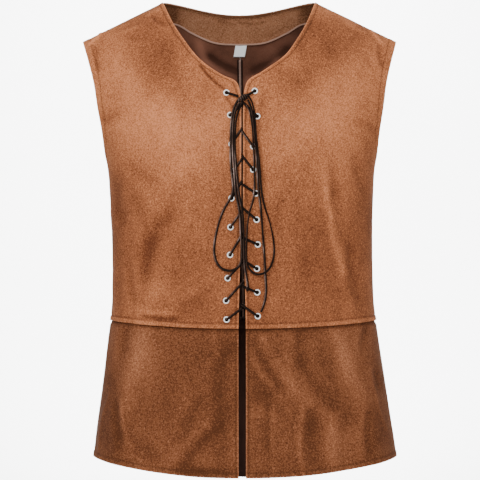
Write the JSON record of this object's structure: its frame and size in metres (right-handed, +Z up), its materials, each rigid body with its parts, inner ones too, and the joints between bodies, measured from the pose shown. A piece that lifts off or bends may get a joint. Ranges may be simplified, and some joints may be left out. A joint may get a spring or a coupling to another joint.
{
  "type": "laced vest",
  "caption": "Sleeveless brown suede historic costume vest with a laced front, round neck and flared skirt, standing open in its worn shape.",
  "frame": {"origin": "midway between the shoulders, level with the neck ends of the shoulder seams and in the plane of the side and shoulder seams, where a wearer holds the vest up", "axes": "+Z up, -Y out of the laced front, +X towards the wearer's left; the node names' left and right are the wearer's"},
  "size_m": [0.4501, 0.2887, 0.6946],
  "materials": {
    "suede": "brushed suede nap",
    "facing": "brushed suede nap, shaded",
    "label": "woven satin",
    "eyelet": "bright nickel plate",
    "lace": "matt suede lace"
  },
  "bodies": {
    "root": {"front_bodice_right": "suede", "front_bodice_left": "suede", "back_bodice_right": "suede", "back_bodice_left": "suede", "front_skirt_right": "suede", "front_skirt_left": "suede", "back_skirt": "suede", "neck_facing": "facing", "neck_label": "label", "eyelet_right_1": "eyelet", "eyelet_right_2": "eyelet", "eyelet_right_3": "eyelet", "eyelet_right_4": "eyelet", "eyelet_right_5": "eyelet", "eyelet_right_6": "eyelet", "eyelet_right_7": "eyelet", "eyelet_right_8": "eyelet", "eyelet_right_9": "eyelet", "eyelet_right_10": "eyelet", "eyelet_left_1": "eyelet", "eyelet_left_2": "eyelet", "eyelet_left_3": "eyelet", "eyelet_left_4": "eyelet", "eyelet_left_5": "eyelet", "eyelet_left_6": "eyelet", "eyelet_left_7": "eyelet", "eyelet_left_8": "eyelet", "eyelet_left_9": "eyelet", "eyelet_left_10": "eyelet", "lace_lacing_a": "lace", "lace_lacing_b": "lace", "lace_knot": "lace", "lace_loop_right": "lace", "lace_loop_left": "lace", "lace_end_right": "lace", "lace_end_left": "lace"}
  },
  "joints": []
}
